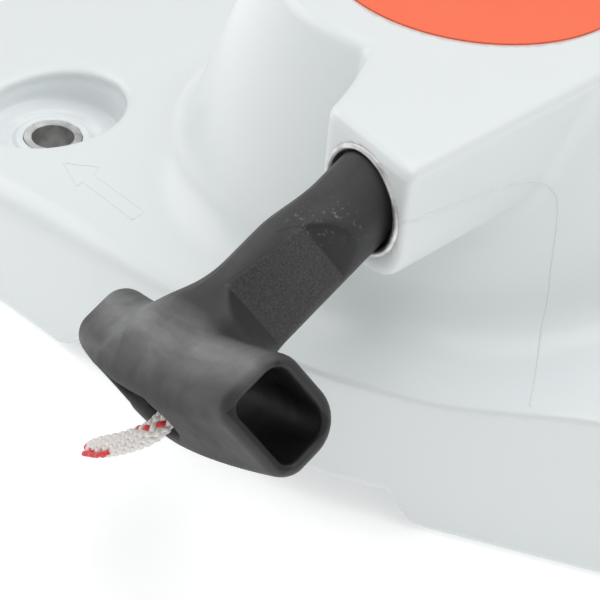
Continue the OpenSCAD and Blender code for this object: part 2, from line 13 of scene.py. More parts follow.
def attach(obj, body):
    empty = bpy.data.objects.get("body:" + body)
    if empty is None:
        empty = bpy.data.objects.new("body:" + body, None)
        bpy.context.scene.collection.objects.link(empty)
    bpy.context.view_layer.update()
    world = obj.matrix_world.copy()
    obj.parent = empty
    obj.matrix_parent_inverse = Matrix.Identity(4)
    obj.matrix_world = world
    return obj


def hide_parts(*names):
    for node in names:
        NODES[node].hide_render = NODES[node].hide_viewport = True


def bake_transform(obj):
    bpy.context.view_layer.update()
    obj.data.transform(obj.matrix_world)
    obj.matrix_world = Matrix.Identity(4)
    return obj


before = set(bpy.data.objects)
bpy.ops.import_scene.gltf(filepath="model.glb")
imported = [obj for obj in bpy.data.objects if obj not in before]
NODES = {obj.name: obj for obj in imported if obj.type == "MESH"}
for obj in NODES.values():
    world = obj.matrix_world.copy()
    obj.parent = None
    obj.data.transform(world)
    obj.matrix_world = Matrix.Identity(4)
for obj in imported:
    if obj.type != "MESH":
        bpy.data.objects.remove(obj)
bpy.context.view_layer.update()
MATERIALS = {}
MM = 0.001

# Sizes shared with the part's source, in millimetres
HUB_TOP, HUB_R = 57.2, 30.6
SHOULDER_R, SHOULDER_Z = 37.0, 44.0
CROWN_R, CROWN_TOP = 420.0, 24.8
FOOT_R, FOOT_COVE = 41.5, 4.0
FOOT_Z = CROWN_TOP - (FOOT_R + FOOT_COVE) ** 2 / (2 * CROWN_R)
WALL, CEILING = 2.4, 54.6
SEAT_GAP = 0.05
CORNERS = [  # centre and radius
    (-72, -47.5, 25), (-16, -36, 25), (8, -8, 46.5),
    (60, -8, 14), (50, 42, 24), (-66, 44, 26),
]
SKIRT_LEAN, SKIRT_MID = 0.15, 75.0
RELIEF_H, RELIEF_LEFT, RELIEF_RIGHT = 5.0, -9.5, 40.0
SCREW_PAIRS = [(0, 0, 129.0, 222.6), (0.5, 24.0, 121.0, 158.7)]  # centre, circle and angle
SLEEVE_LEN, SLEEVE_R, SEAT_R = 13.6, 4.7, 11.3
OUTLET = np.array([29.3, -42.2, 48.0])
OUTLET_W, OUTLET_LOW, OUTLET_ROUND = 17.6, 9.8, 6.5
SCOOP_R, SCOOP_TURN = 60.0, -69
BUSHING_R, BUSHING_LEN = 7.1, 4.6
PLUG_BORE, PLUG_ROOM = 6.5, 7.6
TUNNEL_R, TUNNEL_SIDE, TUNNEL_UP, TUNNEL_END = 4.6, -1.6, 0.5, -13.0
BADGE_R, BADGE_T = 22.5, 1.0
PILLAR_COUNT, PILLAR_TURN, PILLAR_AT = 3, 30, 29.4
PILLAR_R, PILLAR_Z = 2.6, 49.15
AXLE_SPIGOT_R = 5.05
YAW, DROOP, ROLL = (math.radians(a) for a in (7.1, 28.6, 31.5))
PLUG_OUT, PLUG_IN, PLUG_ROUND = 1.5, 5.5, 1.2
STEM_R, STEM_REACH, STEM_RISE = 5.75, 29.3, 1.25
FLAT_FROM, FLAT_BEND, FLAT_TO = -7.4, -12.0, -19.5  # along the stem: near ramp's foot, slight bend, end
FLAT_X, FLAT_FALL = 4.15, 1.1  # half thickness at the flats, and how far they fall towards the bar
BAR_HALF, BAR_DEPTH, BAR_HEIGHT, BAR_SHIFT, BAR_WALL = 25.5, 5.4, 6.8, 1.7, 1.7
PALM_BOW, BAR_WAIST = 2.7, 0.95
ROPE_R, ROPE_HOLE_GAP = 1.5, 0.35
GROOVE_Z, ROPE_OUT, ROPE_PITCH, ROPE_TURNS, LEAD_ANGLE = 43.7, 27.85, 3.45, 5, 6
ANCHOR_Z = 38.25
STRIP_IN, STRIP_OUT, STRIP_T, STRIP_W, STRIP_LOW, STRIP_TURNS = 8.5, 24.6, 0.5, 4.0, 49.4, 9


def on_circle(radius, degrees, centre=(0, 0)):
    """A point of a circle."""
    turn = math.radians(degrees)
    return centre[0] + radius * math.cos(turn), centre[1] + radius * math.sin(turn)


SCREWS = [
    on_circle(circle / 2, angle + turn, (x, y))
    for turn in (0, 180)
    for x, y, circle, angle in SCREW_PAIRS
]
PILLARS = [on_circle(PILLAR_AT, PILLAR_TURN + 360 // PILLAR_COUNT * i) for i in range(PILLAR_COUNT)]
PULL = np.array([
    math.sin(YAW) * math.cos(DROOP),
    -math.cos(YAW) * math.cos(DROOP),
    -math.sin(DROOP),
])
PLUG = OUTLET + PLUG_OUT * PULL
IN_HANDLE = (
    Matrix.Translation(Vector(PLUG * MM))
    @ Matrix.Rotation(YAW, 4, "Z")
    @ Matrix.Rotation(DROOP, 4, "X")
    @ Matrix.Rotation(-ROLL, 4, "Y")
)


def hide_cad(piece, body, slot, *nodes):
    """A piece stands for CAD nodes and rides their body; the slot is not used."""
    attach(piece, body)
    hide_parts(*nodes)


def link(name, data):
    """A new object in the scene."""
    item = bpy.data.objects.new(name, data)
    bpy.context.scene.collection.objects.link(item)
    return item


def dress(piece, *looks):
    """Give a piece its materials."""
    for look in looks:
        piece.data.materials.append(MATERIALS[look])


# Camera


CAMERA_AT = np.array([184.27, -174.79, 189.05])
CAMERA_ANGLES = (-51.28, 37.8, 5.68)  # azimuth, elevation and roll in degrees
PICTURE, FOCAL = 600, 1936.0  # side of the photograph and focal length, in pixels
SENSOR = 36


def camera_axes():
    """Right, up and forward of the camera fitted to the photograph."""
    azimuth, elevation, roll = (math.radians(a) for a in CAMERA_ANGLES)
    forward = Vector((
        math.sin(azimuth) * math.cos(elevation),
        math.cos(azimuth) * math.cos(elevation),
        -math.sin(elevation),
    ))
    level = Vector((math.cos(azimuth), -math.sin(azimuth), 0))
    upright = level.cross(forward)
    right = math.cos(roll) * level + math.sin(roll) * upright
    up = -math.sin(roll) * level + math.cos(roll) * upright
    return right, up, forward


def add_camera():
    """Camera that frames the part as the photograph does."""
    right, up, forward = camera_axes()
    data = bpy.data.cameras.new("camera")
    data.sensor_width = SENSOR
    data.lens = SENSOR * FOCAL / PICTURE
    data.clip_start = 0.01
    camera = link("camera", data)
    turn = Matrix((right, up, -forward)).transposed().to_4x4()
    camera.matrix_world = Matrix.Translation(Vector(CAMERA_AT * MM)) @ turn
    bpy.context.scene.camera = camera


# Meshes


def link_mesh(name, points, faces, smooth=True):
    """A new mesh object from points in metres."""
    mesh = bpy.data.meshes.new(name)
    mesh.from_pydata(np.asarray(points, float).tolist(), [], [list(map(int, f)) for f in faces])
    mesh.validate()
    if smooth:
        mesh.shade_smooth()
    return link(name, mesh)


def place_in_handle(piece):
    """Take a piece drawn in the handle's axes to the row frame; its material still reads those axes."""
    points = np.empty(3 * len(piece.data.vertices), np.float32)
    piece.data.vertices.foreach_get("co", points)
    own = piece.data.attributes.new("own_axes", "FLOAT_VECTOR", "POINT")
    own.data.foreach_set("vector", points)
    piece.data.transform(IN_HANDLE)


# Distance fields: below zero inside a shape, above zero outside


ROUND = 1.17  # width of a smooth edge that cuts a square corner as deep as a round of radius 1


def smooth_min(a, b, width):
    """Smaller of two distances with a fillet of that width."""
    h = np.maximum(width - np.abs(a - b), 0) / width
    return np.minimum(a, b) - h * h * width / 4


def smooth_max(a, b, width):
    """Larger of two distances with a rounded edge of that width."""
    return -smooth_min(-a, -b, width)


def shared(*distances):
    """Distance to what several shapes have in common, with sharp edges."""
    largest = distances[0]
    for distance in distances[1:]:
        largest = np.maximum(largest, distance)
    return largest


def smooth_step(value, start, end):
    """Soft rise from none at the start to one at the end."""
    share = np.clip((value - start) / (end - start), 0, 1)
    return share * share * (3 - 2 * share)


def gradient(field, points, step):
    """Unit normals of a distance field."""
    normal = np.empty_like(points)
    for axis in range(3):
        shift = np.zeros(3)
        shift[axis] = step
        ahead, behind = points + shift, points - shift
        normal[:, axis] = field(*ahead.T) - field(*behind.T)
    return normal / np.maximum(np.linalg.norm(normal, axis=1, keepdims=True), 1e-9)


BLOCK = 8  # grid cells along a block's side
BLOCK_REACH = 1.25  # sides from a block's centre, within which the surface can cross the block
BATCH = 400  # blocks worked out at a time
SETTLE = 3  # moves that bring the points onto the surface
SNAP = 0.62  # cells from a round edge, within which points are taken to it


def sample_field(field, low, counts, cell):
    """Signed distances on a grid, worked out only in the blocks that the surface can cross."""
    blocks = counts // BLOCK
    side = BLOCK * cell
    centres = [low[a] + side * (np.arange(blocks[a]) + 0.5) for a in range(3)]
    x, y, z = np.meshgrid(*centres, indexing="ij")
    coarse = field(x.ravel(), y.ravel(), z.ravel()).reshape(blocks)
    values = np.where(coarse < 0, -1.0, 1.0)
    for axis in range(3):
        values = np.repeat(values, BLOCK, axis)
    values = np.pad(values, ((0, 1), (0, 1), (0, 1)), mode="edge")
    near = np.argwhere(np.abs(coarse) < side * BLOCK_REACH)
    steps = np.stack(np.meshgrid(*[np.arange(BLOCK + 1)] * 3, indexing="ij"), -1).reshape(-1, 3)
    for start in range(0, len(near), BATCH):
        index = (near[start:start + BATCH, None] * BLOCK + steps).reshape(-1, 3)
        points = low + index * cell
        values[tuple(index.T)] = field(*points.T)
    return values


def surface_net(values):
    """Vertices, in grid units, and quads of the zero surface of a sampled field."""
    inside = values < 0
    corners = [np.array(c) for c in np.ndindex(2, 2, 2)]
    counts = np.array(values.shape) - 1

    def shifted(grid, c):
        return grid[c[0]:c[0] + counts[0], c[1]:c[1] + counts[1], c[2]:c[2] + counts[2]]

    total = sum(shifted(inside, c).astype(np.int8) for c in corners)
    cells = np.argwhere((total > 0) & (total < len(corners)))
    number = -np.ones(counts, np.int64)
    number[tuple(cells.T)] = np.arange(len(cells))

    # A vertex lies at the mean of the points where the surface crosses its cell's edges
    place = np.zeros((len(cells), 3))
    hits = np.zeros(len(cells))
    for first in corners:
        for axis in range(3):
            if first[axis]:
                continue
            last = first.copy()
            last[axis] = 1
            a = values[tuple((cells + first).T)]
            b = values[tuple((cells + last).T)]
            crossed = (a < 0) != (b < 0)
            share = np.where(crossed, a / np.where(a == b, 1, a - b), 0)
            at = cells + first + share[:, None] * (last - first)
            place += np.where(crossed[:, None], at, 0)
            hits += crossed
    place /= hits[:, None]

    # A quad joins the four cells about each grid edge that the surface crosses
    quads = []
    step = np.eye(3, dtype=int)
    for axis in range(3):
        u, v = (axis + 1) % 3, (axis + 2) % 3
        change = inside != np.roll(inside, -1, axis)
        edge = [slice(None)] * 3
        edge[axis] = slice(0, counts[axis])
        edge[u], edge[v] = slice(1, counts[u]), slice(1, counts[v])
        found = np.argwhere(change[tuple(edge)]) + step[u] + step[v]
        ring = [found - step[u] - step[v], found - step[v], found, found - step[u]]
        quad = np.stack([number[tuple(c.T)] for c in ring], 1)
        flip = ~inside[tuple(found.T)]
        quad[flip] = quad[flip][:, ::-1]
        quads.append(quad)
    quads = np.concatenate(quads)
    return place, quads[(quads >= 0).all(1)]


def mesh_of_field(name, field, low, high, cell, step, rings=()):
    """A smooth closed mesh of a distance field, with the field's own normals.

    The step is that of the field's gradient; rings are round edges, given by radius and height.
    """
    low, high = np.array(low, float), np.array(high, float)
    counts = (np.ceil((high - low) / cell / BLOCK) * BLOCK).astype(int)
    place, quads = surface_net(sample_field(field, low, counts, cell))
    points = low + place * cell
    most = cell / 3
    for _ in range(SETTLE):
        move = np.clip(field(*points.T), -most, most)
        points -= move[:, None] * gradient(field, points, step)
    for radius, height in rings:
        off = np.hypot(points[:, 0], points[:, 1])
        close = np.hypot(off - radius, points[:, 2] - height) < SNAP * cell
        points[close, :2] *= (radius / off[close])[:, None]
        points[close, 2] = height
    piece = link_mesh(name, points * MM, quads)
    piece.data.normals_split_custom_set_from_vertices(gradient(field, points, step).tolist())
    return piece


# Courses and tubes


def smooth_course(knots, steps):
    """Catmull-Rom course through knots."""
    knots = np.asarray(knots, float)
    last = len(knots) - 1
    course = []
    for i in range(last):
        a, b, c, d = knots[max(i - 1, 0)], knots[i], knots[i + 1], knots[min(i + 2, last)]
        for t in np.arange(steps) / steps:
            course.append(0.5 * (2 * b + (c - a) * t + (2 * a - 5 * b + 4 * c - d) * t * t
                                 + (3 * b - a - 3 * c + d) * t ** 3))
    course.append(knots[-1])
    return np.array(course)


def even_course(course, spacing):
    """The same course with evenly spaced points."""
    reach = np.concatenate([[0], np.cumsum(np.linalg.norm(np.diff(course, axis=0), axis=1))])
    even = np.linspace(0, reach[-1], max(int(reach[-1] / spacing), 2) + 1)
    return np.stack([np.interp(even, reach, course[:, a]) for a in range(3)], 1)


ASKEW = (0.31, 0.22, 0.93)  # a direction that no course starts along


def course_frames(course):
    """Tangent, side and normal at each point, carried along without twist."""
    tangent = np.gradient(course, axis=0)
    tangent /= np.linalg.norm(tangent, axis=1, keepdims=True)
    side = np.empty_like(course)
    first = np.cross(tangent[0], ASKEW)
    side[0] = first / np.linalg.norm(first)
    for i in range(1, len(course)):
        carried = side[i - 1] - tangent[i] * (side[i - 1] @ tangent[i])
        side[i] = carried / np.linalg.norm(carried)
    return tangent, side, np.cross(tangent, side)


def tube_rings(course, radius_side, radius_normal, sides, frames):
    """Points of a tube along a course, ring after ring."""
    _, side, normal = frames
    turn = 2 * math.pi * np.arange(sides) / sides
    across = radius_side * np.cos(turn)[:, None] * side[:, None]
    ring = across + radius_normal * np.sin(turn)[:, None] * normal[:, None]
    return (course[:, None] + ring).reshape(-1, 3)


def tube_faces(rings, sides, start=0):
    """Faces of a tube with closed ends, whose points begin at the start."""
    faces = []
    for i in range(rings - 1):
        for k in range(sides):
            a, b = start + i * sides + k, start + i * sides + (k + 1) % sides
            faces.append((a, b, b + sides, a + sides))
    faces.append(tuple(start + k for k in reversed(range(sides))))
    faces.append(tuple(start + (rings - 1) * sides + k for k in range(sides)))
    return faces


def round_tube(name, course, radius, sides):
    """A plain tube as a new mesh object."""
    points = tube_rings(course, radius, radius, sides, course_frames(course))
    return link_mesh(name, points * MM, tube_faces(len(course), sides))


# Housing


HOUSING_BOX, HOUSING_CELL, HOUSING_STEP = ((-99, -76, -1), (78, 74, 59)), 0.7, 0.08
COVE, SHOULDER_EDGE, HUB_EDGE = 6.5, 5.0, 1.8  # widths of the dome's roundings
PLATE_EDGE = (-20, 20), (4.5, 1.0)  # along x, the width of the plate's edge
RIM_EDGE, HOLLOW_EDGE, INNER_EDGE, INNER_COVE = 1.6, 0.8, 1.2, 2.0  # rim, and roundings inside
LIFT, LIFT_RIGHT, LIFT_FRONT = 5.0, (40, 64), (-14, 12)  # rise of the plate's front right corner
SCOOP_FROM, OUTLET_BACK = 2, 4  # least x and most y of the outlet block
OUTLET_EDGE, OUTLET_FILLET = 1.6, 1.4
BADGE_GAP, BADGE_BED = 0.1, 0.2  # play about the badge, and how far its pocket's floor goes into it
BADGE_POCKET_EDGE, BADGE_RIM_EDGE = 0.3, 0.35
SPIGOT_DOWN, SPIGOT_UP = 1, 1.3  # ends of the axle's hole, from the ceiling


def edge_normal(a, b):
    """Direction of the outward normal of the straight edge between two round corners."""
    dx, dy = b[0] - a[0], b[1] - a[1]
    return math.atan2(dy, dx) - math.acos((a[2] - b[2]) / math.hypot(dx, dy))


def outline_distance(x, y):
    """Distance to the plate's outline: straight edges between round corners."""
    count = len(CORNERS)
    normals = [edge_normal(CORNERS[i], CORNERS[(i + 1) % count]) for i in range(count)]
    distance = np.full(x.shape, -1e3)
    for (cx, cy, r), n in zip(CORNERS, normals):
        distance = np.maximum(distance, (x - cx) * math.cos(n) + (y - cy) * math.sin(n) - r)
    for i, (cx, cy, r) in enumerate(CORNERS):
        before, after = normals[i - 1], normals[i]
        dx, dy = x - cx, y - cy
        past = math.cos(before) * dy - math.sin(before) * dx
        ahead = math.cos(after) * dy - math.sin(after) * dx
        distance = np.where((past >= 0) & (ahead <= 0), np.hypot(dx, dy) - r, distance)
    return distance


def skirt(x, y, z, inset):
    """Distance to the leaning skirt, or to the hollow inside it."""
    size = 1 - SKIRT_LEAN * (z + 2 * min(inset, 1)) / SKIRT_MID
    return (outline_distance(x / size, y / size) + inset) * size


def line_distance(r, z, a, b):
    """Distance outside the line from a up to b in a section through the axis."""
    length = math.hypot(b[0] - a[0], b[1] - a[1])
    return ((r - a[0]) * (b[1] - a[1]) - (z - a[1]) * (b[0] - a[0])) / length


def dome_wall(r, z):
    """Distance outside the dome's side, which bends at the shoulder."""
    shoulder = SHOULDER_R, SHOULDER_Z
    lower = line_distance(r, z, (FOOT_R, FOOT_Z + FOOT_COVE), shoulder)
    upper = line_distance(r, z, shoulder, (HUB_R, HUB_TOP))
    return smooth_max(lower, upper, SHOULDER_EDGE)


def scoop_centre():
    """Centre of the hollow left side of the outlet block."""
    hit = np.array(on_circle(HUB_R, SCOOP_TURN))
    half = (np.array([OUTLET[0] - OUTLET_W / 2, OUTLET[1]]) - hit) / 2
    chord = math.hypot(*half)
    return hit + half + math.sqrt(SCOOP_R ** 2 - chord ** 2) / chord * np.array([half[1], -half[0]])


SCOOP = scoop_centre()


def outlet_sides(x, y, z):
    """Rope outlet block without its top: one side is tangent to the hub, the other is scooped."""
    px, py = OUTLET[0] + OUTLET_W / 2, OUTLET[1]
    touch = math.atan2(py, px) + math.acos(HUB_R / math.hypot(px, py))
    right = (x - px) * math.cos(touch) + (y - py) * math.sin(touch)
    left = SCOOP_R - np.hypot(x - SCOOP[0], y - SCOOP[1])
    floor = OUTLET[2] - OUTLET_LOW - z
    block = smooth_max(shared(right, left, SCOOP_FROM - x), floor, ROUND * OUTLET_ROUND)
    block = smooth_max(block, OUTLET[1] - y, OUTLET_EDGE)
    return np.maximum(block, y - OUTLET_BACK)


def housing_field(x, y, z):
    """The whole housing."""
    r = np.hypot(x, y)
    lift = LIFT * smooth_step(x, *LIFT_RIGHT) * smooth_step(-y, *LIFT_FRONT)
    crown = np.sqrt(r ** 2 + (z - lift - CROWN_TOP + CROWN_R) ** 2) - CROWN_R
    wall = dome_wall(r, z)
    plate = smooth_max(skirt(x, y, z, 0), crown, np.interp(x, *PLATE_EDGE))
    upper = smooth_min(wall, outlet_sides(x, y, z), OUTLET_FILLET)
    body = smooth_min(plate, smooth_max(upper, z - HUB_TOP, HUB_EDGE), COVE)
    hollow_plate = smooth_max(skirt(x, y, z, WALL), crown + WALL, INNER_EDGE)
    hollow_dome = smooth_max(wall + WALL, z - CEILING, INNER_COVE)
    body = smooth_max(body, -smooth_min(hollow_plate, hollow_dome, INNER_COVE), HOLLOW_EDGE)
    body = add_inner_posts(body, x, y, z, crown, wall)
    body = cut_screw_seats(body, x, y, z)
    body = cut_outlet(body, x, y, z)
    badge = smooth_max(r - BADGE_R - BADGE_GAP, HUB_TOP - BADGE_T + BADGE_BED - z, BADGE_POCKET_EDGE)
    body = smooth_max(body, -badge, BADGE_RIM_EDGE)
    spigot = shared(r - AXLE_SPIGOT_R, CEILING - SPIGOT_DOWN - z, z - CEILING - SPIGOT_UP)
    body = np.maximum(body, -spigot)
    body = cut_rim_relief(body, x, y, z)
    body = cut_vents(body, x, y, z)
    return smooth_max(body, -z, RIM_EDGE)


BOSS_WALL, BOSS_EDGE, BOSS_FILLET = 2.5, 0.8, 1.6
PILLAR_ROOT, PILLAR_FILLET = 0.5, 1.0  # how far a pillar goes into the ceiling, and its fillet
PILOT_R, PILOT_UP, PILOT_DOWN = 1.25, 5, 2  # hole for the cover's screw, from the pillar's end


def add_inner_posts(body, x, y, z, crown, wall):
    """Screw bosses, seat floors and the pillars of the spring cover."""
    for sx, sy in SCREWS:
        off = np.hypot(x - sx, y - sy)
        boss = smooth_max(off - SLEEVE_R - BOSS_WALL, z - SLEEVE_LEN, BOSS_EDGE)
        floor = shared(off - SEAT_R - WALL, SLEEVE_LEN - WALL - z, crown + WALL / 2)
        body = smooth_min(body, np.minimum(boss, floor), BOSS_FILLET)
    for px, py in PILLARS:
        off = np.hypot(x - px, y - py)
        pillar = shared(off - PILLAR_R, PILLAR_Z - z, z - CEILING - PILLAR_ROOT, wall + WALL / 2)
        hole = shared(off - PILOT_R, z - PILLAR_Z - PILOT_UP, PILLAR_Z - PILOT_DOWN - z)
        body = np.maximum(smooth_min(body, pillar, PILLAR_FILLET), -hole)
    return body


SEAT_EDGE, SEAT_LIP = 1.0, 3.0  # widths of the rounding in the seat's floor and at its upper edge
MOAT_R, MOAT_UP, MOAT_SIZE, MOAT_SQUEEZE, MOAT_EDGE = 6.9, 0.1, 0.75, 0.9, 0.6
RING_R, RING_DOWN, RING_SIZE, RING_SQUEEZE, RING_FILLET = 5.5, 0.35, 0.7, 1.1, 0.5


def cut_screw_seats(body, x, y, z):
    """Round seats with a groove in the floor and a raised ring about the sleeve."""
    for sx, sy in SCREWS:
        off = np.hypot(x - sx, y - sy)
        seat = smooth_max(off - SEAT_R, SLEEVE_LEN - z, SEAT_EDGE)
        body = smooth_max(body, -seat, SEAT_LIP)
        moat = np.hypot((off - MOAT_R) * MOAT_SQUEEZE, z - SLEEVE_LEN - MOAT_UP) - MOAT_SIZE
        body = smooth_max(body, -moat, MOAT_EDGE)
        ring = np.hypot(off - RING_R, (z - SLEEVE_LEN + RING_DOWN) * RING_SQUEEZE) - RING_SIZE
        body = smooth_min(body, ring, RING_FILLET)
        body = np.maximum(body, SLEEVE_R + SEAT_GAP - off)
    return body


BORE_OVER, BORE_EDGE = 0.2, 0.4  # bushing's bore: depth past the bushing, and edge
TUNNEL_FROM = 1  # behind the outlet's face


def cut_outlet(body, x, y, z):
    """Bore of the bushing, room behind it for the handle's plug, and the rope's tunnel."""
    off = np.hypot(x - OUTLET[0], z - OUTLET[2])
    bore = np.maximum(off - BUSHING_R - SEAT_GAP, y - OUTLET[1] - BUSHING_LEN - BORE_OVER)
    behind = OUTLET[1] + TUNNEL_FROM - y
    tunnel = np.hypot(x - OUTLET[0] - TUNNEL_SIDE, z - OUTLET[2] - TUNNEL_UP) - TUNNEL_R
    tunnel = shared(tunnel, y - TUNNEL_END, behind)
    room = shared(off - PLUG_BORE, y - OUTLET[1] - PLUG_ROOM, behind)
    return smooth_max(np.maximum(body, -np.minimum(tunnel, room)), -bore, BORE_EDGE)


RELIEF_BACK, RELIEF_EDGE = -30, 1.0
LEFT_UNIT, RIGHT_SLOPE, RIGHT_UNIT = 0.707, 1.2, 0.64  # units make the slopes true distances


def cut_rim_relief(body, x, y, z):
    """Low step in the front rim with sloped ends."""
    left = ((RELIEF_LEFT - x) + (z - RELIEF_H)) * LEFT_UNIT
    right = ((x - RELIEF_RIGHT) * RIGHT_SLOPE + (z - RELIEF_H)) * RIGHT_UNIT
    return smooth_max(body, -shared(z - RELIEF_H, y - RELIEF_BACK, left, right), RELIEF_EDGE)


VENTS = range(64, 149, 12)  # degrees about the hub
VENT_AT, VENT_HALF, VENT_SIDE, VENT_LOW, VENT_EDGE = 52.5, 5, 1.6, 2, 0.7


def cut_vents(body, x, y, z):
    """Air slots in the plate behind the dome."""
    angle = np.degrees(np.arctan2(y, x))
    nearest = np.clip(np.round((angle - VENTS[0]) / VENTS.step), 0, len(VENTS) - 1)
    nearest = np.radians(nearest * VENTS.step + VENTS[0])
    along = x * np.cos(nearest) + y * np.sin(nearest)
    across = y * np.cos(nearest) - x * np.sin(nearest)
    slot = np.maximum(np.abs(along - VENT_AT) - VENT_HALF, np.abs(across) - VENT_SIDE)
    return smooth_max(body, -np.maximum(slot, VENT_LOW - z), VENT_EDGE)


def add_housing():
    """Housing with softer edges than its solid has."""
    badge_edge = (BADGE_R + BADGE_GAP, HUB_TOP)
    piece = mesh_of_field("housing_shell", housing_field, *HOUSING_BOX, HOUSING_CELL, HOUSING_STEP,
                          rings=[badge_edge])
    hide_cad(piece, "housing", "housing_plastic", "housing")
    dress(piece, "housing_plastic")


MARCH_FROM, MARCH_STEPS, MARCH_SHARE = 180.0, 90, 0.7  # along a ray, in shares of the distance left
MOULD_LINE = [  # picture points
    (403, 222), (415, 221), (433, 212), (457, 204), (487, 192), (513, 184), (530, 181), (545, 184),
    (555, 193), (558, 204), (557, 227), (552, 263), (548, 300), (542, 327), (538, 360), (535, 380),
    (530, 407),
]
ARROW = [  # picture points
    (64, 163), (98, 167), (94, 175), (144, 211), (133, 220), (82, 181), (77, 187), (64, 163),
]
MOULD_LINE_R, ARROW_R = 0.18, 0.16
LINE_SUNK, LINE_SIDES = 0.3, 8  # share of a raised line's radius below the surface, and its sides
PICTURE_SPACING, LINE_SPACING = 2.0, 0.4  # pixels, and millimetres


def seen_on_housing(course):
    """Points of the housing seen at picture points of the photograph."""
    right, up, forward = (np.array(axis) for axis in camera_axes())
    across, down = np.asarray(course, float).T - PICTURE / 2
    rays = forward + (across[:, None] * right - down[:, None] * up) / FOCAL
    rays /= np.linalg.norm(rays, axis=1, keepdims=True)
    reach = np.full(len(rays), MARCH_FROM)
    for _ in range(MARCH_STEPS):
        points = CAMERA_AT + reach[:, None] * rays
        reach += MARCH_SHARE * housing_field(*points.T)
    return CAMERA_AT + reach[:, None] * rays


def raised_line(name, course, radius):
    """A thin raised line on the housing along picture points."""
    flat = np.column_stack([course, np.zeros(len(course))])
    line = seen_on_housing(even_course(flat, PICTURE_SPACING)[:, :2])
    line = even_course(line, LINE_SPACING)
    line -= LINE_SUNK * radius * gradient(housing_field, line, step=0.1)
    piece = round_tube(name, line, radius, LINE_SIDES)
    dress(piece, "housing_plastic")
    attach(piece, "housing")


def add_housing_marks():
    """Mould line below the rope outlet and the moulded arrow on the plate."""
    flat = smooth_course([(px, py, 0) for px, py in MOULD_LINE], 6)[:, :2]
    raised_line("housing_mould_line", flat, MOULD_LINE_R)
    raised_line("housing_arrow", np.array(ARROW, float), ARROW_R)


# Bushing


LIP_MID, LIP_ROLL = 7.22, 0.48  # rolled lip: distance from the axis to its middle, and radius
LIP_BACK, LIP_SUNK = 0.08, 0.5  # its middle and its last edge, behind the outlet's face
EYELET_THROAT = [(6.72, -0.5), (6.65, -1.2), (6.6, -2.0), (6.5, -3.0), (6.5, -BUSHING_LEN)]
EYELET_STEPS, EYELET_SHARP = 128, 0.7


def add_bushing():
    """Steel eyelet with a rolled lip, turned about the outlet's axis."""
    profile = [
        (LIP_MID + LIP_ROLL * math.cos(t), -LIP_BACK + LIP_ROLL * math.sin(t))
        for t in np.linspace(0, math.pi, 13)
    ]
    profile += EYELET_THROAT
    profile += [(BUSHING_R, -BUSHING_LEN), (BUSHING_R, -LIP_SUNK), (LIP_MID + LIP_ROLL, -LIP_SUNK)]
    count = len(profile)
    points = [
        (OUTLET[0] + r * math.cos(turn), OUTLET[1] - out, OUTLET[2] + r * math.sin(turn))
        for turn in 2 * math.pi * np.arange(EYELET_STEPS) / EYELET_STEPS
        for r, out in profile
    ]
    faces = [
        (i * count + k, j * count + k, j * count + (k + 1) % count, i * count + (k + 1) % count)
        for i, j in ((i, (i + 1) % EYELET_STEPS) for i in range(EYELET_STEPS))
        for k in range(count)
    ]
    piece = link_mesh("bushing_eyelet", np.array(points) * MM, faces)
    piece.data.set_sharp_from_angle(angle=EYELET_SHARP)
    dress(piece, "worn_steel")
    hide_cad(piece, "housing", "bright_steel", "rope_bushing")


# Handle


HANDLE_BOX, HANDLE_CELL, HANDLE_STEP = ((-26, -40, -9), (29, 9, 9)), 0.36, 0.05
BAR_ROUND_UNDER, BAR_ROUND_OVER, BAR_ROUND_PALM = 5.2, 3.8, 3.2  # stem side below, above, palm side
PALM_POWER, FLARE_POWER, FLARE_LIMIT = 1.7, 2, 1.1  # how the bar's faces curve towards its ends
BAR_END_EDGE, BAR_MOUTH_EDGE = 1.6, 0.9
BAR_FILLET = (-4, 3), (9.5, 7.0)  # along x, the width of the fillet between stem and bar
RISE_FROM, RISE_TO = 1, 11  # along the stem, where its upper side rises
STEM_END_EDGE, STEM_BORE_EDGE = 1.0, 0.4
NEAR_RAMP, FAR_RAMP = (0.43, 0.9), (0.6, 0.8)  # slants of the flats' ends: along the stem, sideways
FLAT_EDGE, FLAT_LIMIT = 0.5, 1.2
SLOT_AT, SLOT_HALF, SLOT_UP, SLOT_R, SLOT_EDGE = -4.3, 9.3, 1.1, 3.4, 0.8  # wider than in the source


def bar_section(x, y, z, less):
    """Hollow cross bar, thinner by a wall: its palm face bows out and its ends flare a little."""
    share = np.clip(np.abs(x - BAR_SHIFT) / BAR_HALF, 0, FLARE_LIMIT)
    low = -STEM_REACH - BAR_DEPTH - PALM_BOW * (1 - share ** PALM_POWER)
    high = -STEM_REACH + BAR_DEPTH - BAR_WAIST * (1 - share ** FLARE_POWER)
    half_z = BAR_HEIGHT - less
    centre, half_y = (low + high) / 2, (high - low) / 2 - less
    by_stem = np.where(z < 0, BAR_ROUND_UNDER, BAR_ROUND_OVER)
    corner = np.where(y > centre, by_stem, BAR_ROUND_PALM) - less
    dy = np.abs(y - centre) - half_y + corner
    dz = np.abs(z) - half_z + corner
    outside = np.hypot(np.maximum(dy, 0), np.maximum(dz, 0))
    return outside + np.minimum(np.maximum(dy, dz), 0) - corner


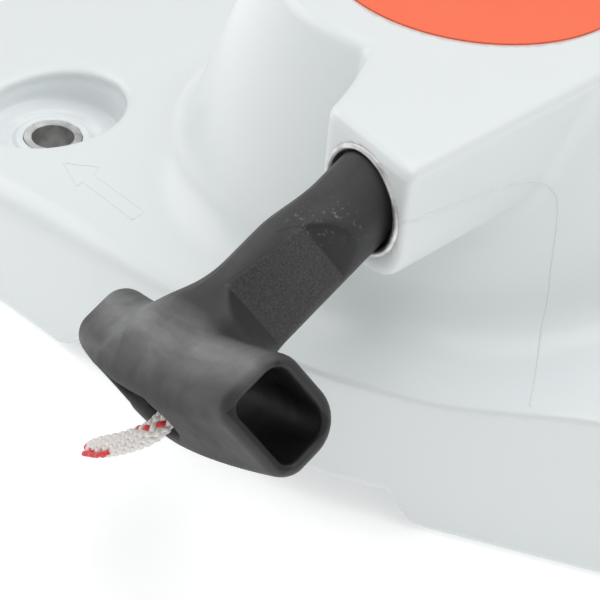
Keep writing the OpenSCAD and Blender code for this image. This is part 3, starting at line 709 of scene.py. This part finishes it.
def handle_field(x, y, z):
    """T-shaped handle about the plug's centre, with its stem along -Y."""
    off, side = np.hypot(x, z), np.abs(x)
    rise = STEM_RISE * smooth_step(-y, RISE_FROM, RISE_TO)
    crest = np.hypot(x, z - np.clip(z, 0, rise))
    stem = smooth_max(crest - STEM_R, -STEM_REACH - y, STEM_END_EDGE)
    stem = smooth_max(stem, y - PLUG_IN, ROUND * PLUG_ROUND)
    fall = np.clip((FLAT_BEND - y) / (FLAT_BEND - FLAT_TO), 0, FLAT_LIMIT)
    near_ramp = (FLAT_FROM - y) * NEAR_RAMP[0] + (side - FLAT_X) * NEAR_RAMP[1]
    far_ramp = (y - FLAT_TO) * FAR_RAMP[0] + (side - FLAT_X + FLAT_FALL) * FAR_RAMP[1]
    flat = shared(FLAT_X - FLAT_FALL * fall - side, -near_ramp, -far_ramp)
    stem = smooth_max(stem, -flat, FLAT_EDGE)
    bar = smooth_max(bar_section(x, y, z, 0), np.abs(x - BAR_SHIFT) - BAR_HALF, BAR_END_EDGE)
    body = smooth_min(stem, bar, np.interp(x, *BAR_FILLET))
    body = smooth_max(body, -bar_section(x, y, z, BAR_WALL), BAR_MOUTH_EDGE)
    bore = np.maximum(off - ROPE_R - ROPE_HOLE_GAP, -STEM_REACH - y)
    body = smooth_max(body, -bore, STEM_BORE_EDGE)
    along = np.maximum(np.abs(x - SLOT_AT) - SLOT_HALF, 0)
    slot = np.maximum(np.hypot(along, z - SLOT_UP) - SLOT_R, y + STEM_REACH)
    return smooth_max(body, -slot, SLOT_EDGE)


def add_handle():
    """Handle with softer edges than its solid has."""
    piece = mesh_of_field("handle_grip", handle_field, *HANDLE_BOX, HANDLE_CELL, HANDLE_STEP)
    place_in_handle(piece)
    hide_cad(piece, "handle", "handle_plastic", "pull_handle")
    dress(piece, "handle_plastic")


# Rope


ROPE_SIDES = 12
STRANDS, LAY = 8, 12.0  # strands each way round the braid, and length of one turn
STRAND_WIDE, STRAND_THICK, STRAND_SIDES = 0.37, 0.27, 10  # half sizes of a strand, and its sides
STRAND_IN, WEAVE = 0.46, 0.18  # a strand's depth in the rope, and its rise and fall
BRAID_SPACING = 0.16
BRAID_TAPER = (0, 1.0, 3.2), (0.55, 0.8, 1.0)  # from the cut end, the share of the braid's radius
CORE_SHARE, CORE_SHORT = 0.5, 6  # the core's share of the radius, and points that it is shorter by
BRAID_LOOKS = ("rope", "rope_tracer", "rope_core_painted_shade")
PLAIN, DYED, SHADED_CORE = range(len(BRAID_LOOKS))
TRACERS = (0,)  # strands of the right-hand lay that are dyed

# A dyed strand has come out of the braid at the cut end
LOOSE_POINTS = 34
LOOSE_SIDE = np.array([0.44, -0.88, 0.18])
LOOSE_OUT = (0, 12, 33), (0.95, 1.25, 0.7)  # along its points, its distance in rope radii
LOOSE_WAVE, LOOSE_SWAY = 0.55, (0.1, 0.1, -0.1)
LOOSE_WIDE, LOOSE_THICK = 0.36, 0.3


def braided_rope(name, course):
    """Rope as two sets of flat strands that pass over and under each other, about a plain core that is dark
    as painted shade in the gaps between strands.
    """
    course = even_course(course, BRAID_SPACING)
    frames = course_frames(course)
    _, side, normal = frames
    reach = np.arange(len(course)) * np.linalg.norm(course[1] - course[0])
    taper = np.interp(reach[-1] - reach, *BRAID_TAPER)
    points, faces, looks = [], [], []

    def add_tube(line, wide, thick, line_frames, look):
        new = tube_faces(len(line), STRAND_SIDES, sum(map(len, points)))
        points.append(tube_rings(line, wide, thick, STRAND_SIDES, line_frames))
        faces.extend(new)
        looks.extend([look] * len(new))

    core_r = ROPE_R * CORE_SHARE
    # The core is coloured dark as painted shade between the strands
    add_tube(course[:-CORE_SHORT], core_r, core_r, [axis[:-CORE_SHORT] for axis in frames], SHADED_CORE)
    for way in (1, -1):
        for strand in range(STRANDS):
            angle = way * 2 * math.pi * (reach / LAY + strand / STRANDS)
            weave = way * np.cos(2 * math.pi * STRANDS * reach / LAY)
            lift = (ROPE_R - STRAND_IN + WEAVE * weave) * taper
            out = np.cos(angle)[:, None] * side + np.sin(angle)[:, None] * normal
            line = course + lift[:, None] * out
            heading = np.gradient(line, axis=0)
            heading /= np.linalg.norm(heading, axis=1, keepdims=True)
            across = np.cross(heading, out)
            across /= np.linalg.norm(across, axis=1, keepdims=True)
            look = DYED if way > 0 and strand in TRACERS else PLAIN
            add_tube(line, STRAND_WIDE, STRAND_THICK, (heading, across, out), look)

    step = np.arange(LOOSE_POINTS)
    loose = course[-LOOSE_POINTS:] + LOOSE_SIDE * np.interp(step, *LOOSE_OUT)[:, None] * ROPE_R
    loose += np.outer(np.sin(step * LOOSE_WAVE), LOOSE_SWAY)
    add_tube(loose, LOOSE_WIDE, LOOSE_THICK, course_frames(loose), DYED)

    piece = link_mesh(name, np.concatenate(points) * MM, faces)
    dress(piece, *BRAID_LOOKS)
    piece.data.polygons.foreach_set("material_index", looks)
    return piece


KNOT_ENDS, KNOT_POINTS, KNOT_DEPTH = 0.35, 70, 1.3  # turn left out at each end, in radians


def knot_course(size):
    """An overhand knot pulled tight."""
    t = np.linspace(KNOT_ENDS, 2 * math.pi - KNOT_ENDS, KNOT_POINTS)
    x = np.sin(t) + 2 * np.sin(2 * t)
    y = np.cos(t) - 2 * np.cos(2 * t)
    z = -KNOT_DEPTH * np.sin(3 * t)
    return np.stack([x, y, z], 1) * size / 3


KNOT_SIZE, KNOT_AT = 1.9, np.array([0.6, -29.9, 0])
ANCHOR_SIZE, ANCHOR_DROP = 1.7, 2.2
TAIL = smooth_course([
    (0, 5.6, 0), (0, -8, 0), (0, -18, 0), (0, -26.3, 0), (1.6, -30.5, -0.1), (3.3, -34.5, -0.3),
    (3.2, -38.2, -0.5), (0.2, -40.9, -0.6), (-3.4, -42.9, -0.6), (-7.3, -44.7, -0.5),
], 5)
WOUND_STEP = 15  # degrees
WOUND = np.array(
    [(on_circle(ROPE_OUT, LEAD_ANGLE)[0], 0, GROOVE_Z)]
    + [
        (*on_circle(ROPE_OUT - ROPE_PITCH * k * WOUND_STEP / 360, LEAD_ANGLE + WOUND_STEP * k), GROOVE_Z)
        for k in range(360 // WOUND_STEP * ROPE_TURNS + 1)
    ])
PLUG_TIP = PLUG - PULL * (PLUG_IN + 0.3)
LEAD_STEPS = 6
LEAD = smooth_course([
    WOUND[0] + (0, -0.05, 0), WOUND[0] + (0, -6, 0), WOUND[0] + (0.1, -12, 0.1),
    (OUTLET[0] - 1.1, OUTLET[1] + 20, GROOVE_Z + 2.7), (OUTLET[0] - 0.9, OUTLET[1] + 11, OUTLET[2] + 1.6),
    PLUG_TIP - PULL * 3 + (0, 0.4, -0.5), PLUG_TIP,
], LEAD_STEPS)
STRETCH_SPACING = 0.1  # of the rings in the lead's last span, from the outlet to the handle's plug


def plain_rope(name, course):
    """Rope that is hardly seen, as a round tube."""
    piece = round_tube(name, course, ROPE_R, ROPE_SIDES)
    dress(piece, "rope_wound")
    return piece


def add_ropes():
    """Braided tail in the handle, stopper knots, lead through the outlet and winding on the drum."""
    tail = braided_rope("rope_braid", TAIL)
    place_in_handle(tail)
    hide_cad(tail, "handle", "rope", "rope_tail")
    knot = plain_rope("rope_stopper_knot", knot_course(KNOT_SIZE) + KNOT_AT)
    place_in_handle(knot)
    hide_cad(knot, "handle", "rope", "rope_knot")
    last_span = even_course(LEAD[-LEAD_STEPS - 1:], STRETCH_SPACING)
    lead = plain_rope("rope_run", np.concatenate([LEAD[:-LEAD_STEPS], last_span]))
    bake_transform(lead)
    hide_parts("rope_lead")
    coil = plain_rope("rope_on_drum", smooth_course(WOUND, 2))
    hide_cad(coil, "rotor", "rope", "rope_winding")
    foot_x, foot_y, _ = WOUND[-1]
    drop = np.linspace((foot_x, foot_y, GROOVE_Z), (foot_x, foot_y, ANCHOR_Z - ANCHOR_DROP), 9)
    anchor = plain_rope("rope_anchor_knot", drop)
    lump = plain_rope("rope_anchor_lump", knot_course(ANCHOR_SIZE) + (foot_x, foot_y, ANCHOR_Z))
    lump.parent = anchor
    hide_cad(anchor, "rotor", "rope", "rope_anchor")


# Rewind spring


STRIP_EDGE, STRIP_STEP = 0.12, 4  # edge break in millimetres, and degrees from point to point
HOOK = [(-14, 6.6), (-12.6, 7.1), (-11, 7.6), (-8.5, 7.95), (-5.5, 8.05), (-3, 8.05)]  # degrees, radius


def strip_mesh(name, angle, reach):
    """Flat spring strip on edge, along angles and distances from the axle."""
    course = np.stack([reach * np.cos(angle), reach * np.sin(angle)], 1)
    along = np.gradient(course, axis=0)
    along /= np.linalg.norm(along, axis=1, keepdims=True)
    left = np.stack([-along[:, 1], along[:, 0]], 1)
    half, edge = STRIP_T / 2, STRIP_EDGE
    section = [
        (-half + edge, 0), (half - edge, 0), (half, edge), (half, STRIP_W - edge),
        (half - edge, STRIP_W), (edge - half, STRIP_W), (-half, STRIP_W - edge), (-half, edge),
    ]
    points = [(*(at + off * out), STRIP_LOW + up) for at, out in zip(course, left) for off, up in section]
    faces = tube_faces(len(course), len(section))
    piece = link_mesh(name, np.array(points) * MM, faces, smooth=False)
    dress(piece, "spring_steel")
    return piece


def add_spring():
    """Rewind strip: its coil stays in the case, and its bent inner end turns with the arbor it catches."""
    angle = np.radians(np.arange(0, 360 * STRIP_TURNS + 1, STRIP_STEP))
    reach = np.linspace(STRIP_IN, STRIP_OUT, len(angle)) + STRIP_T / 2
    coil = strip_mesh("spring_coil", angle, reach)
    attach(coil, "housing")
    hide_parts("rewind_spring")
    bend, reach = np.array(HOOK).T
    hook = strip_mesh("spring_hook", np.radians(bend), reach)
    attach(hook, "rotor")


# Materials


class Shader:
    """Short way to build a node material. Numbers and sockets can both be given as values."""

    def __init__(self, name, **inputs):
        self.material = bpy.data.materials.new(name)
        self.material.use_nodes = True
        self.tree = self.material.node_tree
        self.bsdf = self.tree.nodes["Principled BSDF"]
        for key, value in inputs.items():
            self.bsdf.inputs[key.replace("_", " ")].default_value = value
        self.place = self.add("ShaderNodeTexCoord").outputs["Object"]
        MATERIALS[name] = self.material

    def add(self, kind, **settings):
        node = self.tree.nodes.new(kind)
        for key, value in settings.items():
            setattr(node, key, value)
        return node

    def join(self, source, target):
        self.tree.links.new(source, target)

    def noise(self, scale, detail=3.0, rough=0.5, vector=None):
        node = self.add("ShaderNodeTexNoise")
        node.inputs["Scale"].default_value = scale
        node.inputs["Detail"].default_value = detail
        node.inputs["Roughness"].default_value = rough
        self.join(vector or self.place, node.inputs["Vector"])
        return node.outputs["Fac"]

    def ramp(self, source, *stops):
        """Colours along a value, each given with its position."""
        node = self.add("ShaderNodeValToRGB")
        ramp = node.color_ramp
        while len(ramp.elements) < len(stops):
            ramp.elements.new(0.5)
        for element, (at, colour) in zip(ramp.elements, stops):
            element.position = at
            element.color = (*colour, 1)
        self.join(source, node.inputs["Fac"])
        return node.outputs["Color"]

    def spread(self, source, low, high, to_low, to_high, kind="LINEAR"):
        """A value's range brought to another range."""
        node = self.add("ShaderNodeMapRange", interpolation_type=kind)
        for key, value in zip(("From Min", "From Max", "To Min", "To Max"), (low, high, to_low, to_high)):
            node.inputs[key].default_value = value
        self.join(source, node.inputs["Value"])
        return node.outputs["Result"]

    def fade(self, source, start, end):
        """None up to the start of a value's range, one from its end."""
        return self.spread(source, start, end, 0, 1)

    def near(self, source, centre, core, edge):
        """One where a value is within the core of a centre, falling to none at the edge."""
        off = self.math("ABSOLUTE", self.minus(source, centre))
        return self.spread(off, core, edge, 1, 0, "SMOOTHSTEP")

    def math(self, operation, *values):
        node = self.add("ShaderNodeMath", operation=operation)
        for socket, value in zip(node.inputs, values):
            if isinstance(value, (int, float)):
                socket.default_value = value
            else:
                self.join(value, socket)
        return node.outputs["Value"]

    def plus(self, a, b):
        return self.math("ADD", a, b)

    def minus(self, a, b):
        return self.math("SUBTRACT", a, b)

    def times(self, a, b):
        return self.math("MULTIPLY", a, b)

    def above(self, a, b):
        return self.math("GREATER_THAN", a, b)

    def axes(self):
        """Coordinates of the piece in millimetres, one socket each."""
        node = self.add("ShaderNodeSeparateXYZ")
        self.join(self.place, node.inputs["Vector"])
        return [self.times(socket, 1 / MM) for socket in node.outputs]

    def stretched(self, *scale):
        """Coordinates of the piece scaled along each axis."""
        node = self.add("ShaderNodeVectorMath", operation="MULTIPLY")
        self.join(self.place, node.inputs[0])
        node.inputs[1].default_value = scale
        return node.outputs["Vector"]

    def mix(self, share, a, b):
        """From colour a, where the share is none, to colour b."""
        node = self.add("ShaderNodeMix", data_type="RGBA")
        for socket, value in zip((node.inputs["Factor"], node.inputs[6], node.inputs[7]), (share, a, b)):
            if isinstance(value, tuple):
                socket.default_value = (*value, 1)
            else:
                self.join(value, socket)
        return node.outputs[2]

    def colour(self, socket):
        self.join(socket, self.bsdf.inputs["Base Color"])

    def roughness(self, socket):
        self.join(socket, self.bsdf.inputs["Roughness"])

    def bump(self, height, strength, distance):
        node = self.add("ShaderNodeBump")
        node.inputs["Strength"].default_value = strength
        node.inputs["Distance"].default_value = distance
        self.join(height, node.inputs["Height"])
        self.join(node.outputs["Normal"], self.bsdf.inputs["Normal"])


def grey(value):
    return (value, value, value)


def handle_faces(handle, x, y, z):
    """Where the handle's flats, their near ramps, mould line, palm face and top are; the ramps, palm face
    and top carry painted light and shade.
    """
    near, fade, plus, minus, times = handle.near, handle.fade, handle.plus, handle.minus, handle.times
    side = handle.math("ABSOLUTE", x)
    # The near ramps, which are painted darker as shade
    lean = plus(times(minus(FLAT_FROM, y), NEAR_RAMP[0]), times(minus(side, FLAT_X), NEAR_RAMP[1]))
    ramp = times(near(lean, 0, core=0.1, edge=0.22), handle.above(y, FLAT_FROM - 3))
    fall = handle.spread(y, FLAT_BEND, FLAT_TO, FLAT_X, FLAT_X - FLAT_FALL)
    flat = times(
        near(side, fall, core=0.12, edge=0.3),
        near(y, (FLAT_FROM + FLAT_TO) / 2, core=6.2, edge=6.6),
    )
    line = times(near(x, 0, core=0.06, edge=0.2), handle.above(z, 2.0))
    line = times(line, fade(y, start=-25, end=-22))
    # The palm face, which is painted lighter and made rougher
    palm = fade(y, start=-34.6, end=-36.2)
    bow = handle.math("POWER", minus(x, BAR_SHIFT), 2.0)
    from_palm = minus(y, times(bow, PALM_BOW / BAR_HALF ** 2))
    # The bar's top face, which is painted light as a highlight
    top = times(fade(z, start=5.2, end=6.6), fade(y, start=-24, end=-28))
    top = times(top, fade(from_palm, start=-34.5, end=-30.5))
    return flat, ramp, line, palm, top


def make_handle_plastic():
    """Black plastic: spark-textured flats, smooth ramps in painted shade, a palm face and a streaked top in
    painted light, painted shade inside the hollow bar, a mould line and dusty wear by the outlet.
    """
    handle = Shader("handle_plastic")
    handle.place = handle.add("ShaderNodeAttribute", attribute_name="own_axes").outputs["Vector"]
    near, plus, times, mix, noise = handle.near, handle.plus, handle.times, handle.mix, handle.noise
    x, y, z = handle.axes()
    flat, ramp, line, palm, top = handle_faces(handle, x, y, z)
    grain = noise(3800, detail=3, rough=0.7)
    coarse = noise(220, detail=6, rough=0.65)

    base = handle.ramp(coarse, (0.2, grey(0.020)), (0.8, grey(0.034)))
    streaks = noise(240, detail=6, rough=0.6, vector=handle.stretched(0.5, 1.6, 1.0))
    # Painted highlight: the bar's top is made light grey in streaks, for the light that falls on it
    painted_top_light = times(top, handle.spread(streaks, 0.2, 0.8, 0.2, 0.8))
    base = mix(painted_top_light, base, grey(0.26))
    base = mix(flat, base, handle.ramp(grain, (0.35, grey(0.022)), (0.68, grey(0.07))))
    # Painted shade: the near ramps are made darker than the plastic about them
    base = mix(ramp, base, grey(0.016))
    # Painted light: the palm face is made lighter, for the light it takes from the white floor
    base = mix(palm, base, handle.ramp(coarse, (0.2, grey(0.026)), (0.8, grey(0.06))))
    # Painted shade: the hollow inside the bar is made near black, for the shade within it
    inside = times(near(z, 0, core=5.1, edge=5.4), near(y, -29.8, core=4.0, edge=4.3))
    base = mix(inside, base, grey(0.006))
    base = mix(line, base, grey(0.012))
    specks = handle.spread(noise(1500, detail=8, rough=0.75), 0.56, 0.72, 0, 0.55)
    dust = times(near(y, -5.0, core=1.5, edge=5.5), specks)
    patches = handle.fade(noise(170), start=0.42, end=0.62)
    handle.colour(mix(times(dust, patches), base, grey(0.42)))

    smooth = handle.spread(noise(340, detail=5), 0, 1, 0.36, 0.66)
    handle.roughness(plus(smooth, times(palm, 0.3)))

    depth = plus(times(plus(flat, 0.25), grain), times(line, 1.5))
    crease = times(near(x, -1.5, core=1.0, edge=3.5), near(y, -22.5, core=3.0, edge=7.0))
    ripple = noise(420, rough=0.6, vector=handle.stretched(2.2, 0.6, 1.0))
    depth = plus(depth, times(times(crease, ripple), 4.0))
    handle.bump(depth, strength=0.5, distance=0.0001)


def make_plain(name, colour, rough, bump, **inputs):
    """A material whose colour, roughness and relief each follow a noise of their own.

    Each is given as the noise and then its colour stops, its range, or its strength and distance.
    """
    look = Shader(name, **inputs)
    noise, *stops = colour
    look.colour(look.ramp(look.noise(*noise), *stops))
    noise, *span = rough
    look.roughness(look.spread(look.noise(*noise), *span))
    noise, strength, distance = bump
    look.bump(look.noise(*noise), strength, distance)


STEELS = [  # name, colour, range of roughness, and brightness of the dull patches
    ("bright_steel", (0.82, 0.83, 0.84), (0.16, 0.28), 0.86),
    ("worn_steel", (0.80, 0.80, 0.79), (0.3, 0.55), 0.6),
    ("dark_steel", (0.34, 0.35, 0.37), (0.28, 0.42), 0.86),
    ("plate_steel", (0.58, 0.58, 0.56), (0.3, 0.44), 0.86),
    ("spring_steel", (0.24, 0.26, 0.30), (0.25, 0.38), 0.86),
]
ROPES = [  # name, light and dark colour
    ("rope", (0.88, 0.84, 0.81), (0.76, 0.72, 0.69)),
    ("rope_tracer", (0.80, 0.05, 0.05), (0.62, 0.02, 0.025)),
    ("rope_wound", (0.76, 0.74, 0.72), (0.5, 0.48, 0.46)),
    # The core's dark colour is painted shade in the gaps between strands
    ("rope_core_painted_shade", (0.42, 0.40, 0.38), (0.3, 0.28, 0.26)),
]


def make_materials():
    """All the materials, by name."""
    make_plain(
        "housing_plastic", Coat_Weight=0.25, Coat_Roughness=0.2,
        colour=((14, 4), (0, (0.775, 0.810, 0.819)), (1, (0.829, 0.864, 0.869))),
        rough=((60, 4), 0, 1, 0.26, 0.4),
        bump=((30, 0), 0.03, 0.0003),
    )
    make_plain(
        "badge_orange", Coat_Weight=0.2, Coat_Roughness=0.15,
        colour=((30, 3), (0.3, (0.98, 0.14, 0.05)), (0.7, (1.0, 0.17, 0.065))),
        rough=((90, 3), 0.3, 0.7, 0.3, 0.38),
        bump=((1500, 2), 0.05, 0.0002),
    )
    for name, tone, span, dull in STEELS:
        make_plain(
            name, Metallic=1.0,
            colour=((260, 5, 0.6), (0.35, tuple(dull * c for c in tone)), (0.6, tone)),
            rough=((500, 4), 0.3, 0.7, *span),
            bump=((2400, 3), 0.12, 0.0001),
        )
    make_plain(
        "inner_plastic",
        colour=((60, 4), (0.3, grey(0.028)), (0.7, grey(0.042))),
        rough=((200, 4), 0.3, 0.7, 0.42, 0.58),
        bump=((1800, 3), 0.15, 0.0002),
    )
    make_handle_plastic()
    for name, light, dark in ROPES:
        make_plain(
            name, Sheen_Weight=0.3, Sheen_Roughness=0.5,
            colour=((2600, 4, 0.6), (0.3, dark), (0.62, light)),
            rough=((3000, 3), 0.3, 0.7, 0.55, 0.75),
            bump=((6000, 4), 0.25, 0.0001),
        )
    floor = Shader("floor", Roughness=0.55, Emission_Color=(1, 1, 1, 1), Emission_Strength=0.34)
    floor.colour(floor.ramp(floor.noise(3, 2), (0.3, grey(0.93)), (0.7, grey(0.95))))


CAD_LOOKS = {
    "badge_orange": ["centre_badge"],
    "worn_steel": ["screw_sleeves"],
    "bright_steel": ["pawl_pins"],
    "dark_steel": ["axle_post", "pawl_a", "pawl_b", "centre_screw"],
    "plate_steel": ["spring_cover", "cover_screws", "friction_plate", "retaining_washer"],
    "inner_plastic": ["spring_case", "rope_rotor"],
}


def dress_cad():
    """Materials of the CAD nodes that are shown as they are."""
    for look, nodes in CAD_LOOKS.items():
        for node in nodes:
            NODES[node].data.materials.clear()
            dress(NODES[node], look)


# Studio


FLOOR_HALF, FLOOR_Z = 3.0, -0.0002
AIM = (0, -0.02, 0.03)
BOXES = [  # name, place, size and power
    ("top_box", (-0.05, 0.15, 0.75), (0.8, 0.8), 2.8),
    ("left_box", (-0.7, -0.35, 0.45), (0.6, 0.6), 1.7),
    ("right_box", (0.45, 0.05, 0.6), (0.6, 0.6), 0.55),
    ("front_box", (0.25, -0.75, 0.35), (0.7, 0.6), 0.05),
]


def add_floor():
    """White floor, a hair below the rim."""
    ends = ((-1, -1), (1, -1), (1, 1), (-1, 1))
    points = [(FLOOR_HALF * x, FLOOR_HALF * y, FLOOR_Z) for x, y in ends]
    floor = link_mesh("floor", points, [(0, 1, 2, 3)])
    dress(floor, "floor")


def add_box(name, place, size, power):
    """A soft box that is aimed at the part."""
    data = bpy.data.lights.new(name, "AREA")
    data.shape = "RECTANGLE"
    data.size, data.size_y = size
    data.energy = power
    light = link(name, data)
    light.location = place
    light.rotation_euler = (Vector(AIM) - Vector(place)).to_track_quat("-Z", "Y").to_euler()


def add_lights():
    """Soft boxes in a pale room."""
    scene = bpy.context.scene
    scene.world = bpy.data.worlds.new("studio")
    scene.world.use_nodes = True
    room = scene.world.node_tree.nodes["Background"]
    room.inputs["Color"].default_value = (0.99, 1.0, 1.0, 1)
    room.inputs["Strength"].default_value = 0.5
    for box in BOXES:
        add_box(*box)
    scene.view_settings.view_transform = "Standard"


add_camera()
make_materials()
dress_cad()
add_ropes()
add_spring()
add_housing()
add_handle()
add_housing_marks()
add_bushing()
add_floor()
add_lights()
